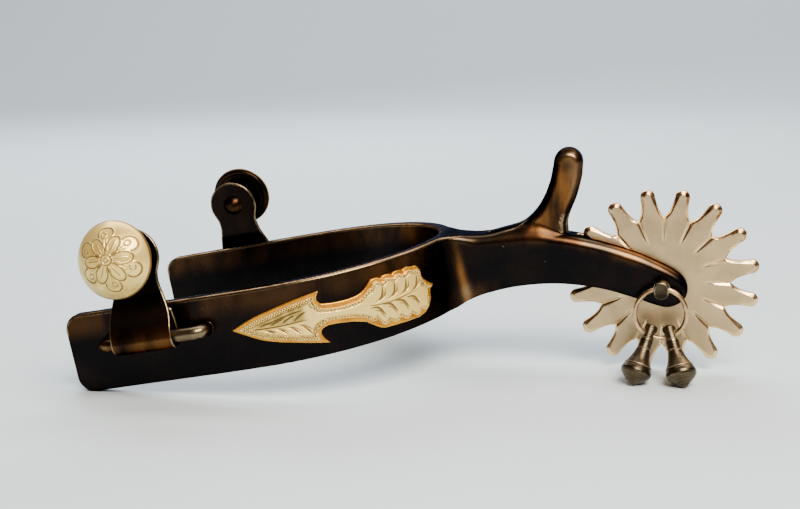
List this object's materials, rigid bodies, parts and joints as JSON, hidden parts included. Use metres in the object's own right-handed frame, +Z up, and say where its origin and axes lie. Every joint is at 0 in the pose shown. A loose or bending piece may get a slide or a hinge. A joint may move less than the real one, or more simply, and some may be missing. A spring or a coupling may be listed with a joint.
{
  "type": "riding spur",
  "caption": "Western riding spur: U-shaped heel band with an applied arrow, shank with chap guard, spinning star rowel, jingle bobs on a ring and swinging strap buttons.",
  "frame": {"origin": "bottom centre of the bounding box, on the ground the spur rests on", "axes": "+X from the boot heel towards the rowel, +Z up, -Y the outer side with the arrow and the jingle bobs"},
  "size_m": [0.2042, 0.1256, 0.0691],
  "materials": {
    "blued_steel": "polished and blued nearly black, browned where worn",
    "bronze_steel": "turned steel, browned, satin",
    "polished_steel": "satin polished, warm",
    "silver": "engraved silver plate, bright satin",
    "gold_brass": "polished, gold-coloured"
  },
  "bodies": {
    "spur_frame": {"heel_band": "blued_steel", "shank": "blued_steel", "rowel_pin": "bronze_steel", "arrow_backing": "gold_brass", "arrow_overlay": "silver", "near_hinge_staple": "blued_steel", "far_hinge_staple": "blued_steel"},
    "rowel_wheel": {"rowel": "polished_steel"},
    "bob_ring": {"jingle_ring": "polished_steel"},
    "left_bob": {"jingle_bob_left": "bronze_steel"},
    "right_bob": {"jingle_bob_right": "bronze_steel"},
    "near_button": {"near_hanger": "blued_steel", "near_button_stud": "blued_steel", "near_button_disc": "blued_steel", "near_button_dome": "silver"},
    "far_button": {"far_hanger": "blued_steel", "far_button_stud": "blued_steel", "far_button_disc": "blued_steel", "far_button_dome": "silver"}
  },
  "joints": [
    {"name": "rowel_spin", "type": "hinge", "parent": "spur_frame", "child": "rowel_wheel", "pos_m": [0.07402, 0, 0.02812], "axis": [0, 1, 0], "continuous": true},
    {"name": "ring_swing", "type": "hinge", "parent": "spur_frame", "child": "bob_ring", "pos_m": [0.07324, -0.0098, 0.02798], "axis": [-1, 0, 0], "range_deg": [-3, 60]},
    {"name": "left_bob_swing", "type": "hinge", "parent": "bob_ring", "child": "left_bob", "pos_m": [0.06989, -0.0103, 0.01378], "axis": [-0.9415, 0.0118, 0.3369], "range_deg": [-36, 22]},
    {"name": "right_bob_swing", "type": "hinge", "parent": "bob_ring", "child": "right_bob", "pos_m": [0.07635, -0.0103, 0.01367], "axis": [-0.9568, -0.0101, -0.2905], "range_deg": [-36, 22]},
    {"name": "near_button_swing", "type": "hinge", "parent": "spur_frame", "child": "near_button", "pos_m": [-0.07369, -0.0493, 0.01878], "axis": [0.9849, 0, 0.1733], "range_deg": [-15, 80]},
    {"name": "far_button_swing", "type": "hinge", "parent": "spur_frame", "child": "far_button", "pos_m": [-0.07369, 0.0493, 0.01878], "axis": [-0.9849, 0, -0.1733], "range_deg": [-15, 80]}
  ]
}
